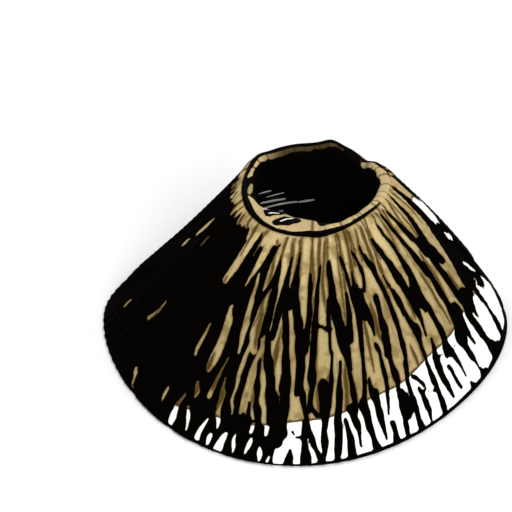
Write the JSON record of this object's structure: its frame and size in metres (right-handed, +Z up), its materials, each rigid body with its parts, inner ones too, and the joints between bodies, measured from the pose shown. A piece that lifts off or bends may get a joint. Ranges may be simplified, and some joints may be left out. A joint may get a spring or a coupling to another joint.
{
  "type": "limpet shell",
  "caption": "Conical keyhole limpet shell, ribbed outside and hollow beneath, with a wide thick-lipped opening at the top and a flat margin to rest on.",
  "frame": {"origin": "middle of the shell's box in plan, on the flat surface that its margin rests on", "axes": "+Z up from the margin to the opening; +Y from the long slope towards the short slope; +X to the right when looking along +Y"},
  "size_m": [0.0574, 0.0612, 0.0236],
  "materials": {
    "shell": "chalky tan ribs with near-black grooves and flank, smooth pale porcelain inside"
  },
  "bodies": {
    "root": {"shell": "shell"}
  },
  "joints": []
}
